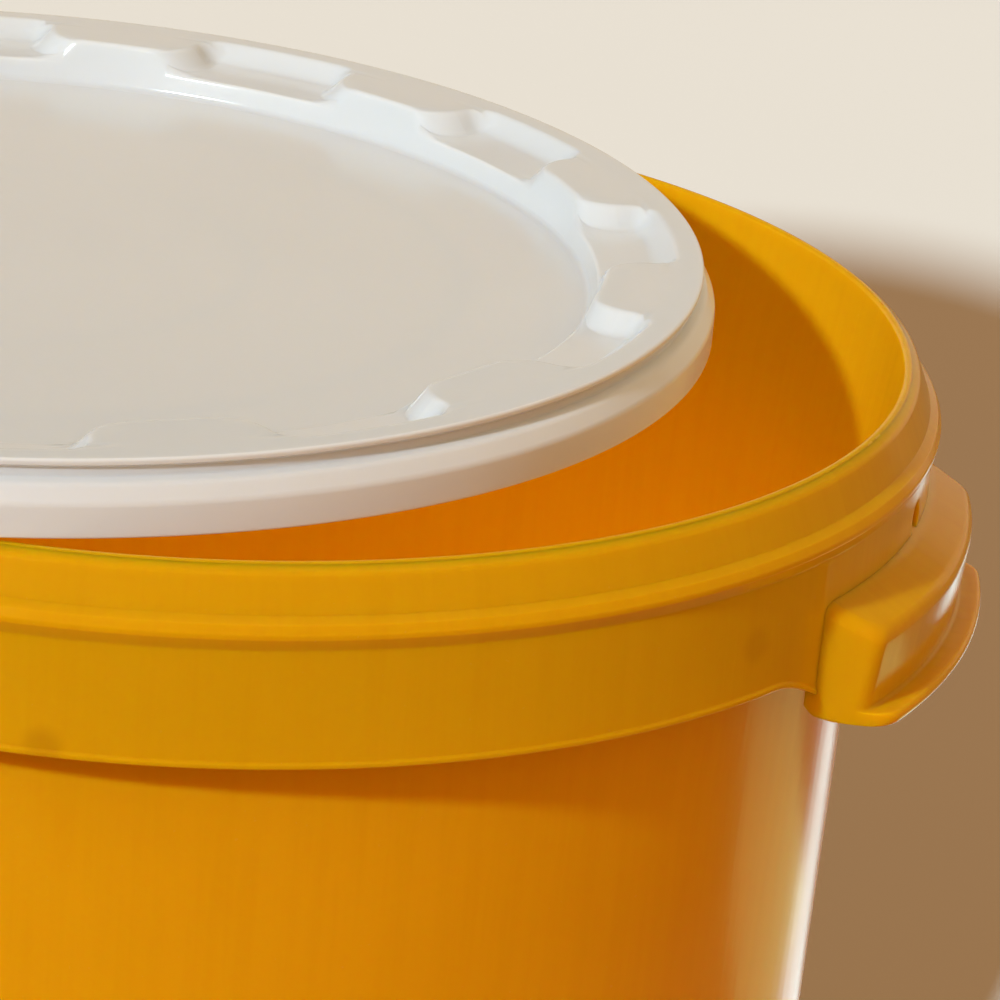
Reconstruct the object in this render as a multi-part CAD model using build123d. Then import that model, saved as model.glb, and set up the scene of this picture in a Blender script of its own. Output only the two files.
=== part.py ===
from build123d import *
import os
from math import atan, cos, sin, tan, degrees, radians

os.makedirs("parts", exist_ok=True)

# ---------------------------------------------------------------- driving dimensions, mm
# Frame: origin on the floor under the pail's axis, +Z up, the two grips on +X and -X.
H = 295.0            # rim height above the floor
R_LIP = 150.0        # outer radius of the lip's crest
T = 2.2              # wall thickness of the pail
WALL_R0 = 133.93     # outer wall radius, its straight taper carried down to the floor
WALL_SLOPE = 0.0388  # outer wall taper, radius per height
FLARE_Z0 = 225.0     # the wall starts to flare here ...
FLARE_Z1 = 283.0     # ... and runs straight to the lip from here

BASE_Z = 4.0         # underside of the floor panel
BASE_R = 116.0       # edge of the floor panel, where the wall's corner begins
FOOT_RI = 121.0      # foot ring, inside
FOOT_RO = 127.2      # foot ring, outside: it drops into the ring of a lid below, to stack
FOOT_Z = 10.4        # top of the foot, where the wall steps out

RING_B = (151.8, -2.2)     # ridge below the lip, radius and drop below the rim
RING_C = (154.3, -8.6)     # foot of the sealing ring, where the lid's skirt lands
LEDGE_R = 157.0            # ledge bead
COLLAR_RO = 155.5          # band, outside
COLLAR_RI = 153.5          # band, inside
COLLAR_DROP = 38.5         # band's lower edge below the rim

RIB_T = 1.6                # upright rib thickness
RIB_STEP = 15.0            # rib spacing, degrees
RIB_FREE = 24.0            # no rib within this angle of a grip's middle

GRIP_S0 = 48.5             # half length of a grip at the band
GRIP_D0 = 147.3            # distance from the axis where that half length holds
GRIP_DRAFT = 3.5 / 15.3    # the ends lean in by this much per mm outwards
GRIP_TOP = 25.2            # top plate meets the band this far below the rim
GRIP_RO = 165.4            # outer wall radius at its top
GRIP_FLANGE_RO = 168.8     # lower flange radius
GRIP_FLANGE_T = 2.8        # lower flange thickness
GRIP_DROP = 49.6           # lowest face below the rim
GRIP_T = 2.2               # shell thickness
HOLE_R = 3.2               # round hole in the band above each grip
HOLE_DROP = 21.8           # its centre below the rim

LID_X, LID_Y = -48.07, -6.24   # where the loose lid lies
LID_GAP = 1.15                 # its skirt's edge above the rim, at the lid's axis
LID_TILT = 0.55                # it leans by this much ...
LID_TILT_AZ = 14.3             # ... towards this heading
LID_POCKET_AZ = 22.05          # heading of one pocket's middle
LID_RO = 156.0                 # skirt, outside
LID_RI = 154.7                 # skirt, inside
LID_HT = 14.4                  # overall height
LID_SKIRT = 6.8                # upright height of the skirt
LID_TOP_RO = 153.1             # flange's outer edge
LID_GROOVE_R = 151.6           # groove below the flange's edge
LID_POCKETS = 12
LID_POCKET_END = (6.4, 8.0)    # a pocket's ends: angle from its middle, at the floor and at the top
LID_POCKET_FLOOR = 10.2
LID_POCKET_RO = (147.4, 143.6) # back wall radius, at its top and at the floor
LID_CORNER = 9.0               # plan rounding of the lands' inner corners
LID_FALL = 0.075               # the pockets' floors fall this much per mm inwards
LID_STEP = 7.6                 # level where the side wall meets the ring
LID_WALL_R = (132.8, 129.6)    # sloped side wall radius, at the top and at the panel
LID_PANEL_Z = 4.5              # panel's upper face
LID_T = 1.7
LID_ROOF = 8.7                 # roof of the channel that takes the pail's lip
PLUG_R = (144.4, 146.2)
PLUG_Z = 2.0


# ---------------------------------------------------------------- helpers
def outline(*items):
    """Closed face in the XZ plane from (r, z) points; ('arc', mid, end) runs a three-point arc from the last point."""
    first, last, edges = None, None, []
    for it in items:
        if it[0] == "arc":
            edges.append(ThreePointArc((last[0], 0, last[1]), (it[1][0], 0, it[1][1]), (it[2][0], 0, it[2][1])))
            last = it[2]
        else:
            if first is None:
                first = it
            else:
                edges.append(Line((last[0], 0, last[1]), (it[0], 0, it[1])))
            last = it
    if abs(first[0] - last[0]) + abs(first[1] - last[1]) > 1e-7:
        edges.append(Line((last[0], 0, last[1]), (first[0], 0, first[1])))
    return Face(Wire(edges))


def turned(*items):
    """Solid of revolution about Z, its seam turned away from the grips, the holes and the pocket edges."""
    return Rot(0, 0, 93) * revolve(outline(*items), axis=Axis.Z, revolution_arc=360)


def prism(points, z0, z1):
    """Upright prism on an (x, y) polygon."""
    return extrude(Face(Wire(Polyline(*[(x, y, z0) for x, y in points], close=True).edges())), amount=z1 - z0, dir=(0, 0, 1))


def save(shape, node):
    export_step(shape, f"parts/{node}.step")


# ---------------------------------------------------------------- tub wall
th0 = atan(WALL_SLOPE)


def flare(th1):
    """Inner and outer arc ends and the lip's middle for an end angle th1."""
    p0 = (WALL_R0 + WALL_SLOPE * FLARE_Z0 - T / cos(th0), FLARE_Z0)
    rc = (FLARE_Z1 - FLARE_Z0) / (sin(th1) - sin(th0))
    c = (p0[0] + rc * cos(th0), p0[1] - rc * sin(th0))
    on = lambda r, th: (c[0] - r * cos(th), c[1] + r * sin(th))
    pi1 = on(rc, th1)
    run = (H - T / 2 - (pi1[1] - T / 2 * sin(th1))) / cos(th1)
    mid = (pi1[0] + T / 2 * cos(th1) + run * sin(th1), H - T / 2)
    return on, rc, mid


lo, hi = radians(4.0), radians(14.0)
for _ in range(60):
    th1 = (lo + hi) / 2
    if flare(th1)[2][0] < R_LIP - T / 2:
        lo = th1
    else:
        hi = th1
on, rc, mid = flare(th1)
t1 = (sin(th1), cos(th1))
n1 = (cos(th1), -sin(th1))
lip_in = (mid[0] - T / 2 * n1[0], mid[1] - T / 2 * n1[1])
lip_out = (mid[0] + T / 2 * n1[0], mid[1] + T / 2 * n1[1])
lip_top = (mid[0] + T / 2 * t1[0], mid[1] + T / 2 * t1[1])
thm = (th0 + th1) / 2


def wall_out(z):
    return WALL_R0 + WALL_SLOPE * z


def wall_in(z):
    return WALL_R0 + WALL_SLOPE * z - T / cos(th0)


# stepped foot: upright ring, then a rounded step out to the wall; the inside follows it
floor_top = BASE_Z + T
foot_in = FOOT_RO - T
step_z = FOOT_Z + 5.0
mid_step = (FOOT_RO + 0.72 * (wall_out(step_z) - FOOT_RO), FOOT_Z + 1.55)
mid_step_in = (foot_in + 0.72 * (wall_in(step_z + 1.2) - foot_in), FOOT_Z + T + 1.2)

tub_wall = turned(
    (FOOT_RI, 0.0),
    (FOOT_RO - 1.2, 0.0),
    ("arc", (FOOT_RO - 0.35, 0.35), (FOOT_RO, 1.2)),
    (FOOT_RO, FOOT_Z),
    ("arc", mid_step, (wall_out(step_z), step_z)),
    on(rc - T, th0),
    ("arc", on(rc - T, thm), on(rc - T, th1)),
    lip_out,
    ("arc", lip_top, lip_in),
    on(rc, th1),
    ("arc", on(rc, thm), on(rc, th0)),
    (wall_in(step_z + 1.2), step_z + 1.2),
    ("arc", mid_step_in, (foot_in, FOOT_Z + T - 0.6)),
    (foot_in, floor_top + 3.0),
    ("arc", (foot_in - 0.88, floor_top + 0.88), (foot_in - 3.0, floor_top)),
    (BASE_R, floor_top),
    (BASE_R, BASE_Z),
    (FOOT_RI, BASE_Z),
)
save(tub_wall, "tub_wall")

# ---------------------------------------------------------------- floor panel, with a low centre boss and a stiffening ring below
tub_base = Pos(0, 0, BASE_Z) * extrude(Circle(BASE_R), amount=T)
tub_base = tub_base + Pos(0, 0, BASE_Z - 1.0) * extrude(Circle(5.0), amount=1.5)
tub_base = tub_base + (Pos(0, 0, BASE_Z - 1.6) * extrude(Circle(92.0) - Circle(88.0), amount=2.0))
save(tub_base, "tub_base")

# ---------------------------------------------------------------- sealing ring, ledge bead and hanging band
k1 = (lip_out[0] - 0.4 * t1[0], lip_out[1] - 0.4 * t1[1])
k2 = (lip_out[0] - 5.6 * t1[0], lip_out[1] - 5.6 * t1[1])
rim_collar = turned(
    k1,
    (RING_B[0] - 0.5, H + RING_B[1] + 0.55),
    ("arc", (RING_B[0] - 0.08, H + RING_B[1] + 0.25), (RING_B[0] + 0.08, H + RING_B[1] - 0.3)),
    (RING_C[0], H + RING_C[1]),
    (RING_C[0] + 0.25, H - 9.0),
    (LEDGE_R - 0.5, H - 11.2),
    ("arc", (LEDGE_R, H - 12.0), (LEDGE_R - 0.4, H - 12.7)),
    (COLLAR_RO, H - 13.6),
    (COLLAR_RO, H - COLLAR_DROP + 1.6),
    (COLLAR_RO + 0.3, H - COLLAR_DROP + 1.1),
    (COLLAR_RO + 0.3, H - COLLAR_DROP + 0.5),
    (COLLAR_RO, H - COLLAR_DROP),
    (COLLAR_RI, H - COLLAR_DROP),
    (COLLAR_RI, H - 13.4),
    (151.9, H - 9.6),
    k2,
)


def grip_s(d):
    return GRIP_S0 - (d - GRIP_D0) * GRIP_DRAFT


def grip_plan(inset=0.0, d0=140.0, d1=176.0):
    a, b = grip_s(d0) - inset, grip_s(d1) - inset
    return [(d0, -a), (d1, -b), (d1, b), (d0, a)]


# the band is open behind each grip, so that fingers reach in from below
cut = prism(grip_plan(), H - COLLAR_DROP - 2, H - GRIP_TOP - GRIP_T - 0.2)
hole = Pos(140, 0, H - HOLE_DROP) * Rot(0, 90, 0) * extrude(Circle(HOLE_R), amount=24)
bored = hole & turned((151.0, H - 36), (160.0, H - 36), (160.0, H - 14), (151.0, H - 14))
for turn in (0, 180):
    rim_collar = rim_collar - Rot(0, 0, turn) * cut
    rim_collar = rim_collar - Rot(0, 0, turn) * bored
# beside each grip's ends the band's lower edge sweeps down along the end wall
low = H - COLLAR_DROP
for s in (-1, 1):
    web = Face(Wire([
        Line((135.0, s * 46.0, low + 0.3), (135.0, s * 62.5, low + 0.3)),
        Line((135.0, s * 62.5, low + 0.3), (135.0, s * 62.5, low)),
        ThreePointArc((135.0, s * 62.5, low), (135.0, s * 55.2, low - 1.9), (135.0, s * 49.0, low - 5.5)),
        Line((135.0, s * 49.0, low - 5.5), (135.0, s * 46.0, low - 5.5)),
        Line((135.0, s * 46.0, low - 5.5), (135.0, s * 46.0, low + 0.3)),
    ]))
    web = extrude(web, amount=30.0, dir=(1, 0, 0)) & turned(
        (COLLAR_RI, low - 6.0), (COLLAR_RO, low - 6.0), (COLLAR_RO, low + 0.3), (COLLAR_RI, low + 0.3)
    )
    web = web - prism(grip_plan(), low - 8.0, low + 2.0)
    for turn in (0, 180):
        rim_collar = rim_collar + Rot(0, 0, turn) * web
save(rim_collar, "rim_collar")

# ---------------------------------------------------------------- upright ribs between wall and band
headings = [
    k * RIB_STEP
    for k in range(int(360 / RIB_STEP))
    if min(abs((k * RIB_STEP) % 180), 180 - (k * RIB_STEP) % 180) > RIB_FREE
]
rib = prism([(138.0, -RIB_T / 2), (156.0, -RIB_T / 2), (156.0, RIB_T / 2), (138.0, RIB_T / 2)], H - 33.0, H - 5.0)
rib = (rib & turned((138.0, H - 33.0), (COLLAR_RI, H - 33.0), (COLLAR_RI, H - 13.4), (151.9, H - 9.6), k2, (138.0, k2[1]))) - tub_wall
rib = rib.solids().sort_by(Axis.X)[-1]          # the piece outside the wall
ribs = [Rot(0, 0, h) * rib for h in headings]
save(Compound(children=ribs), "collar_ribs")

# ---------------------------------------------------------------- grips
z = lambda drop: H - drop


def rounded_plan(r, corner, inset=0.0):
    """Grip outline from above: leaning ends, an arc about the pail's axis, rounded outer corners."""
    f = Face(Wire(Polyline(*[(x, y, 0) for x, y in grip_plan(inset)], close=True).edges())) & Circle(r).face()
    f = f.faces()[0] if not isinstance(f, Face) else f
    if corner:
        f = fillet([v for v in f.vertices() if v.X > 150], corner)
        f = f.faces()[0] if not isinstance(f, Face) else f
    return f


def stand(face, z0, z1):
    return Pos(0, 0, z0) * extrude(face, amount=z1 - z0, dir=(0, 0, 1))


under = GRIP_DROP - GRIP_FLANGE_T
body = turned(
    (COLLAR_RO, z(GRIP_TOP)),
    (162.3, z(28.65)),
    ("arc", (164.55, z(30.2)), (GRIP_RO, z(32.8))),
    (163.7, z(under)),
    (163.7, z(GRIP_DROP)),
    (159.5, z(GRIP_DROP)),
    ("arc", (155.3, z(47.8)), (COLLAR_RI, z(43.8))),
    (COLLAR_RI, z(GRIP_TOP + GRIP_T + 0.2)),
    (COLLAR_RO, z(GRIP_TOP + GRIP_T + 0.2)),
) & stand(rounded_plan(GRIP_RO, 4.5), z(52), z(20))
flange = turned(
    (161.0, z(under)),
    (GRIP_FLANGE_RO - 0.6, z(under)),
    ("arc", (GRIP_FLANGE_RO, z(under + GRIP_FLANGE_T / 2)), (GRIP_FLANGE_RO - 0.6, z(GRIP_DROP))),
    (161.0, z(GRIP_DROP)),
) & stand(rounded_plan(GRIP_FLANGE_RO, 6.0), z(52), z(20))
pocket = turned(
    (150.0, z(GRIP_TOP + GRIP_T + 0.2)),
    (COLLAR_RO, z(GRIP_TOP + GRIP_T + 0.2)),
    (161.3, z(30.9)),
    ("arc", (162.6, z(31.8)), (163.1, z(33.2))),
    (161.5, z(under)),
    (161.5, z(53)),
    (150.0, z(53)),
) & stand(rounded_plan(GRIP_RO, 2.5, GRIP_T / cos(atan(GRIP_DRAFT))), z(54), z(20))
grip = (body + flange) - pocket
save(grip, "grip_right")
save(Rot(0, 0, 180) * grip, "grip_left")

# ---------------------------------------------------------------- lid, drawn about its own axis with its skirt's edge at zero
top_r, pan_r = LID_WALL_R
lean = (top_r - pan_r) / (LID_HT - LID_PANEL_Z)          # side wall, radius per height


def side(zz):
    return pan_r + lean * (zz - LID_PANEL_Z)


PANEL_EDGE = 126.0
lid_panel = Pos(0, 0, LID_PANEL_Z - LID_T) * extrude(Circle(PANEL_EDGE), amount=LID_T)
lid_wall = turned(
    (PANEL_EDGE, LID_PANEL_Z - LID_T),
    (pan_r + LID_T - 0.6, LID_PANEL_Z - LID_T),
    ("arc", (pan_r + LID_T + 0.15, LID_PANEL_Z - LID_T + 0.35), (side(LID_PANEL_Z) + LID_T + 0.25, LID_PANEL_Z - LID_T + 1.1)),
    (side(LID_STEP) + LID_T, LID_STEP),
    (side(LID_STEP), LID_STEP),
    (side(LID_PANEL_Z + 0.8), LID_PANEL_Z + 0.8),
    ("arc", (pan_r - 0.25, LID_PANEL_Z + 0.18), (pan_r - 1.0, LID_PANEL_Z)),
    (PANEL_EDGE, LID_PANEL_Z),
)

# two low rings under the panel, down to the skirt's level
rib_lo, rib_hi = 0.2, LID_PANEL_Z - LID_T
lid_ribs = turned((58.0, rib_lo), (60.0, rib_lo), (60.0, rib_hi), (58.0, rib_hi)) + turned(
    (102.0, rib_lo), (104.4, rib_lo), (104.4, rib_hi), (102.0, rib_hi)
)

# castellated ring: a full ring, hollowed from below under each land and from above at each pocket
ring = turned(
    (side(LID_STEP), LID_STEP),
    (side(LID_STEP) + LID_T, LID_STEP),
    (143.0, LID_ROOF),
    (LID_GROOVE_R - LID_T, LID_ROOF),
    (LID_GROOVE_R - LID_T, LID_HT),
    (side(LID_HT) + 0.5, LID_HT),
    ("arc", (side(LID_HT) + 0.1, LID_HT - 0.15), (side(LID_HT - 0.5), LID_HT - 0.5)),
)


def wedge(half, r0, r1, z0, z1, grow=0.0):
    """Sector-shaped block about heading 0, growing upwards by grow degrees at each side."""
    a0, a1 = radians(half), radians(half + grow)
    lowf = Face(Wire([Line((r0 * cos(a0), -r0 * sin(a0), z0), (r1 / cos(a0) * cos(a0), -r1 / cos(a0) * sin(a0), z0)),
                      Line((r1, -r1 * tan(a0), z0), (r1, r1 * tan(a0), z0)),
                      Line((r1, r1 * tan(a0), z0), (r0 * cos(a0), r0 * sin(a0), z0)),
                      Line((r0 * cos(a0), r0 * sin(a0), z0), (r0 * cos(a0), -r0 * sin(a0), z0))]))
    upf = Face(Wire([Line((r0 * cos(a1), -r0 * sin(a1), z1), (r1, -r1 * tan(a1), z1)),
                     Line((r1, -r1 * tan(a1), z1), (r1, r1 * tan(a1), z1)),
                     Line((r1, r1 * tan(a1), z1), (r0 * cos(a1), r0 * sin(a1), z1)),
                     Line((r0 * cos(a1), r0 * sin(a1), z1), (r0 * cos(a1), -r0 * sin(a1), z1))]))
    return loft([lowf, upf])


def mouth(z, edge):
    """Plan of a pocket at one level: straight ends, and arcs that open out to the lid's inner side."""
    ends = []
    for s in (-1, 1):
        low, high = LID_POCKET_END
        a = radians(low + (high - low) * (z - LID_POCKET_FLOOR) / (LID_HT - LID_POCKET_FLOOR))
        c = LID_CORNER
        out, across = (cos(a), s * sin(a)), (-sin(a), s * cos(a))
        at = lambda r, t: (r * out[0] + t * across[0], r * out[1] + t * across[1], z)
        k = c * (1 - cos(radians(45)))
        ends.append([at(118.0, c), at(edge, c), at(edge + k, k), at(edge + c, 0.0), at(160.0, 0.0)])
    p, q = ends
    return Face(Wire([
        Line(p[0], p[1]), ThreePointArc(p[1], p[2], p[3]), Line(p[3], p[4]), Line(p[4], q[4]),
        Line(q[4], q[3]), ThreePointArc(q[3], q[2], q[1]), Line(q[1], q[0]), Line(q[0], p[0]),
    ]))


pk_top, pk_bot = LID_POCKET_RO
scoop = loft([mouth(LID_POCKET_FLOOR - 1.4, side(LID_HT)), mouth(LID_HT + 1.0, side(LID_HT))]) & turned(
    (127.0, LID_POCKET_FLOOR - LID_FALL * (pk_bot - 127.0)),
    (pk_bot, LID_POCKET_FLOOR),
    (pk_top, LID_HT),
    (pk_top + 0.3, LID_HT + 1.0),
    (127.0, LID_HT + 1.0),
)
land_half = 180.0 / LID_POCKETS - LID_POCKET_END[0] - 1.1
hollow = wedge(land_half, 118.0, 160.0, LID_STEP - 1.0, LID_HT - LID_T, -1.4) & turned(
    (137.5, LID_STEP - 1.0),
    (148.3, LID_STEP - 1.0),
    (148.3, LID_HT - LID_T),
    (137.5, LID_HT - LID_T),
)
step = 360.0 / LID_POCKETS
lid_flange = ring
for k in range(LID_POCKETS):
    lid_flange = lid_flange - Rot(0, 0, k * step) * scoop
for k in range(LID_POCKETS):
    lid_flange = lid_flange - Rot(0, 0, (k + 0.5) * step) * hollow

# groove below the flange's edge, shoulder and skirt
lid_skirt = turned(
    (LID_RO - 0.35, 0.0),
    ("arc", (LID_RO - 0.1, 0.1), (LID_RO, 0.35)),
    (LID_RO, LID_SKIRT),
    ("arc", (LID_RO - 1.25, LID_SKIRT + 2.35), (LID_RO - 3.6, LID_SKIRT + 3.4)),
    (LID_GROOVE_R, LID_SKIRT + 3.7),
    (LID_GROOVE_R, LID_HT - 1.9),
    (LID_TOP_RO - 0.5, LID_HT - 1.35),
    ("arc", (LID_TOP_RO, LID_HT - 0.75), (LID_TOP_RO - 0.7, LID_HT)),
    (LID_GROOVE_R - LID_T, LID_HT),
    (LID_GROOVE_R - LID_T, LID_ROOF),
    (LID_RI - 2.6, LID_ROOF),
    ("arc", (LID_RI - 0.75, LID_SKIRT + 1.0), (LID_RI, LID_SKIRT - 0.8)),
    (LID_RI, 0.0),
)

lid_plug = turned(
    (PLUG_R[0] + 0.3, PLUG_Z),
    (PLUG_R[1] - 0.3, PLUG_Z),
    (PLUG_R[1], PLUG_Z + 0.8),
    (PLUG_R[1], LID_ROOF),
    (PLUG_R[0], LID_ROOF),
    (PLUG_R[0], PLUG_Z + 0.5),
)

lay = (
    Pos(LID_X, LID_Y, H + LID_GAP)
    * Rot(0, 0, LID_TILT_AZ)
    * Rot(0, LID_TILT, 0)
    * Rot(0, 0, LID_POCKET_AZ - LID_TILT_AZ)
)
for shape, node in (
    (lid_panel, "lid_panel"),
    (lid_wall, "lid_wall"),
    (lid_ribs, "lid_ribs"),
    (lid_flange, "lid_flange"),
    (lid_skirt, "lid_skirt"),
    (lid_plug, "lid_plug"),
):
    save(lay * shape, node)

print("flare end angle", round(degrees(th1), 3), "lip middle", [round(v, 3) for v in mid])
for n_, s_ in (("tub_wall", tub_wall), ("tub_base", tub_base), ("rim_collar", rim_collar), ("grip", grip), ("lid_panel", lid_panel), ("lid_wall", lid_wall), ("lid_flange", lid_flange), ("lid_skirt", lid_skirt), ("lid_plug", lid_plug), ("lid_ribs", lid_ribs)):
    print(n_, "solids", len(s_.solids()), "cm3", round(s_.volume / 1000, 2))
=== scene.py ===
import math

import bmesh
import bpy
import numpy as np
from mathutils import Matrix, Vector


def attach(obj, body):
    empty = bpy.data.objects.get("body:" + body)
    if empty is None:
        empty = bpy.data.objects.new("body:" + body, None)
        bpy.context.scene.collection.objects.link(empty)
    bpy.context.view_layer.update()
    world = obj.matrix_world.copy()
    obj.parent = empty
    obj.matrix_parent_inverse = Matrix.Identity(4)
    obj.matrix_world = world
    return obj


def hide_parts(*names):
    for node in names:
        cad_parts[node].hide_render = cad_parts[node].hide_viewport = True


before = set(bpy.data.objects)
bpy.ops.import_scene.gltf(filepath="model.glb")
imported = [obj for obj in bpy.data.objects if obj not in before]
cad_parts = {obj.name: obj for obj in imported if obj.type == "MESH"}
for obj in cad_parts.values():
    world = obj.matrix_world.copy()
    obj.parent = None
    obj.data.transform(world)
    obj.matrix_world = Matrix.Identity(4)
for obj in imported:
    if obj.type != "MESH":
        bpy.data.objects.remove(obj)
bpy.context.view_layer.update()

# ------------------------------------------------------------------ dimensions, mm (as the construction has them)
H = 295.0
R_LIP = 150.0
T = 2.2
WALL_R0, WALL_SLOPE = 133.93, 0.0388
FLARE_Z0, FLARE_Z1 = 225.0, 283.0
BASE_Z, BASE_R = 4.0, 116.0
FOOT_RI, FOOT_RO, FOOT_Z = 121.0, 127.2, 10.4
RING_B, RING_C = (151.8, -2.2), (154.3, -8.6)
LEDGE_R = 157.0
COLLAR_RO, COLLAR_RI, COLLAR_DROP = 155.5, 153.5, 38.5
GRIP_S0, GRIP_D0, GRIP_DRAFT = 48.5, 147.3, 3.5 / 15.3
GRIP_TOP, GRIP_DROP, GRIP_T = 25.2, 49.6, 2.2
HOLE_R, HOLE_DROP = 3.2, 21.8
LID_X, LID_Y, LID_GAP = -48.07, -6.24, 1.15
LID_TILT, LID_TILT_AZ, LID_POCKET_AZ = 0.55, 14.3, 22.05
LID_RO, LID_RI, LID_HT, LID_SKIRT = 156.0, 154.7, 14.4, 6.8
LID_TOP_RO, LID_GROOVE_R = 153.1, 151.6
LID_POCKETS, LID_POCKET_DEG, LID_POCKET_FLOOR = 12, (12.8, 16.0), 10.2
LID_POCKET_RO = (147.4, 143.6)
LID_CORNER, LID_BACK = 9.0, 4.0   # plan rounding of the lands' inner corners and of the pockets' outer corners
LID_WALL_R = (132.8, 129.6)
LID_FALL, LID_STEP = 0.075, 7.6   # fall of the pockets' floors inwards, and the level where the side wall meets the ring
LID_PANEL_Z, LID_T, LID_ROOF = 4.5, 1.7, 8.7
PLUG_R, PLUG_Z = (144.4, 146.2), 2.0
VIEW_TURN = 14.3          # the photograph's viewing direction, turned from the grips' line


# ------------------------------------------------------------------ mesh helpers
def round_path(pts, closed=False, fine=13.0):
    """Polyline of (r, z, corner radius) with each corner turned into an arc."""
    out, n = [], len(pts)
    for i, (x, y, rad) in enumerate(pts):
        p = np.array((x, y), float)
        if (not closed and i in (0, n - 1)) or rad <= 0:
            out.append((x, y))
            continue
        a, b = np.array(pts[i - 1][:2], float), np.array(pts[(i + 1) % n][:2], float)
        da, db = a - p, b - p
        la, lb = np.linalg.norm(da), np.linalg.norm(db)
        da, db = da / la, db / lb
        ang = math.acos(float(np.clip(da @ db, -1, 1)))
        if math.pi - ang < math.radians(3):
            out.append((x, y))
            continue
        t = min(rad / math.tan(ang / 2), 0.48 * la, 0.48 * lb)
        r = t * math.tan(ang / 2)
        c = p + (da + db) / np.linalg.norm(da + db) * (r / math.sin(ang / 2))
        p0, p1 = p + da * t, p + db * t
        a0, a1 = math.atan2(p0[1] - c[1], p0[0] - c[0]), math.atan2(p1[1] - c[1], p1[0] - c[0])
        d = (a1 - a0 + math.pi) % (2 * math.pi) - math.pi
        k = max(2, int(math.ceil(abs(d) / math.radians(fine))))
        for j in range(k + 1):
            th = a0 + d * j / k
            out.append((c[0] + r * math.cos(th), c[1] + r * math.sin(th)))
    return out


def split_runs(path, longest):
    """Extra points on runs longer than the given length."""
    out = [path[0]]
    for a, b in zip(path[:-1], path[1:]):
        k = max(1, int(math.ceil(math.dist(a, b) / longest)))
        out += [(a[0] + (b[0] - a[0]) * j / k, a[1] + (b[1] - a[1]) * j / k) for j in range(1, k + 1)]
    return out


class Build:
    """Gathers vertices (mm) and faces, each corner with a place on a flat map."""

    def __init__(self):
        self.v, self.f, self.uv = [], [], []

    def vert(self, x, y, z):
        self.v.append((x, y, z))
        return len(self.v) - 1

    def face(self, idx, uv=None):
        self.f.append(tuple(idx))
        self.uv.append(uv)

    def mesh(self, name, matrix=None, merge=0.0):
        co = np.array(self.v, float) * 0.001
        me = bpy.data.meshes.new(name)
        me.from_pydata([tuple(c) for c in co], [], self.f)
        if all(u is not None for u in self.uv):
            layer = me.uv_layers.new(name="OFBake")
            flat = [c for u in self.uv for p in u for c in p]
            layer.data.foreach_set("uv", flat)
        me.validate(clean_customdata=False)
        bm = bmesh.new()
        bm.from_mesh(me)
        if merge:
            bmesh.ops.remove_doubles(bm, verts=bm.verts, dist=merge * 0.001)
        bmesh.ops.recalc_face_normals(bm, faces=bm.faces)
        bm.to_mesh(me)
        bm.free()
        me.polygons.foreach_set("use_smooth", [True] * len(me.polygons))
        if matrix is not None:
            me.transform(matrix)
        me.update()
        ob = bpy.data.objects.new(name, me)
        bpy.context.scene.collection.objects.link(ob)
        return ob


def weighted(ob):
    m = ob.modifiers.new("even_normals", "WEIGHTED_NORMAL")
    m.mode, m.weight, m.keep_sharp = "FACE_AREA", 50, False
    return ob


def lengths(path):
    d = [0.0]
    for a, b in zip(path[:-1], path[1:]):
        d.append(d[-1] + math.dist(a, b))
    return [x / d[-1] for x in d]


def lathe(path, az, closed):
    """Turned body about Z. path is (r, z) points; closed joins its last point to the first. Points on the axis become poles."""
    b = Build()
    n, m = len(path), len(az)
    loop = path + [path[0]] if closed else path
    ln = lengths(loop)
    rows = []
    for r, z in path:
        if r < 1e-6:
            rows.append([b.vert(0, 0, z)] * m)
        else:
            rows.append([b.vert(r * math.cos(a), r * math.sin(a), z) for a in az])
    u = [0.002 + 0.996 * j / m for j in range(m + 1)]
    w = [0.002 + 0.996 * x for x in ln]
    for i in range(n if closed else n - 1):
        i2 = (i + 1) % n
        for j in range(m):
            j2 = (j + 1) % m
            q = [(rows[i][j], (u[j], w[i])), (rows[i][j2], (u[j + 1], w[i])), (rows[i2][j2], (u[j + 1], w[i + 1])), (rows[i2][j], (u[j], w[i + 1]))]
            if path[i][0] < 1e-6:
                q = [(q[0][0], ((u[j] + u[j + 1]) / 2, w[i])), q[2], q[3]]
            elif path[i2][0] < 1e-6:
                q = [q[0], q[1], (q[2][0], ((u[j] + u[j + 1]) / 2, w[i + 1]))]
            b.face([x[0] for x in q], [x[1] for x in q])
    return b, rows


def smooth(a, b, x):
    t = min(1.0, max(0.0, (x - a) / (b - a)))
    return t * t * (3 - 2 * t)


# ------------------------------------------------------------------ pail: the wall's flare
th0 = math.atan(WALL_SLOPE)


def flare(th1):
    p0 = (WALL_R0 + WALL_SLOPE * FLARE_Z0 - T / math.cos(th0), FLARE_Z0)
    rc = (FLARE_Z1 - FLARE_Z0) / (math.sin(th1) - math.sin(th0))
    c = (p0[0] + rc * math.cos(th0), p0[1] - rc * math.sin(th0))
    on = lambda r, th: (c[0] - r * math.cos(th), c[1] + r * math.sin(th))
    p1 = on(rc, th1)
    run = (H - T / 2 - (p1[1] - T / 2 * math.sin(th1))) / math.cos(th1)
    return on, rc, (p1[0] + T / 2 * math.cos(th1) + run * math.sin(th1), H - T / 2)


lo, hi = math.radians(4.0), math.radians(14.0)
for _ in range(60):
    th1 = (lo + hi) / 2
    if flare(th1)[2][0] < R_LIP - T / 2:
        lo = th1
    else:
        hi = th1
on, rc, mid = flare(th1)
t1, n1 = (math.sin(th1), math.cos(th1)), (math.cos(th1), -math.sin(th1))
wall_out = lambda z: WALL_R0 + WALL_SLOPE * z
wall_in = lambda z: WALL_R0 + WALL_SLOPE * z - T / math.cos(th0)

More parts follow.
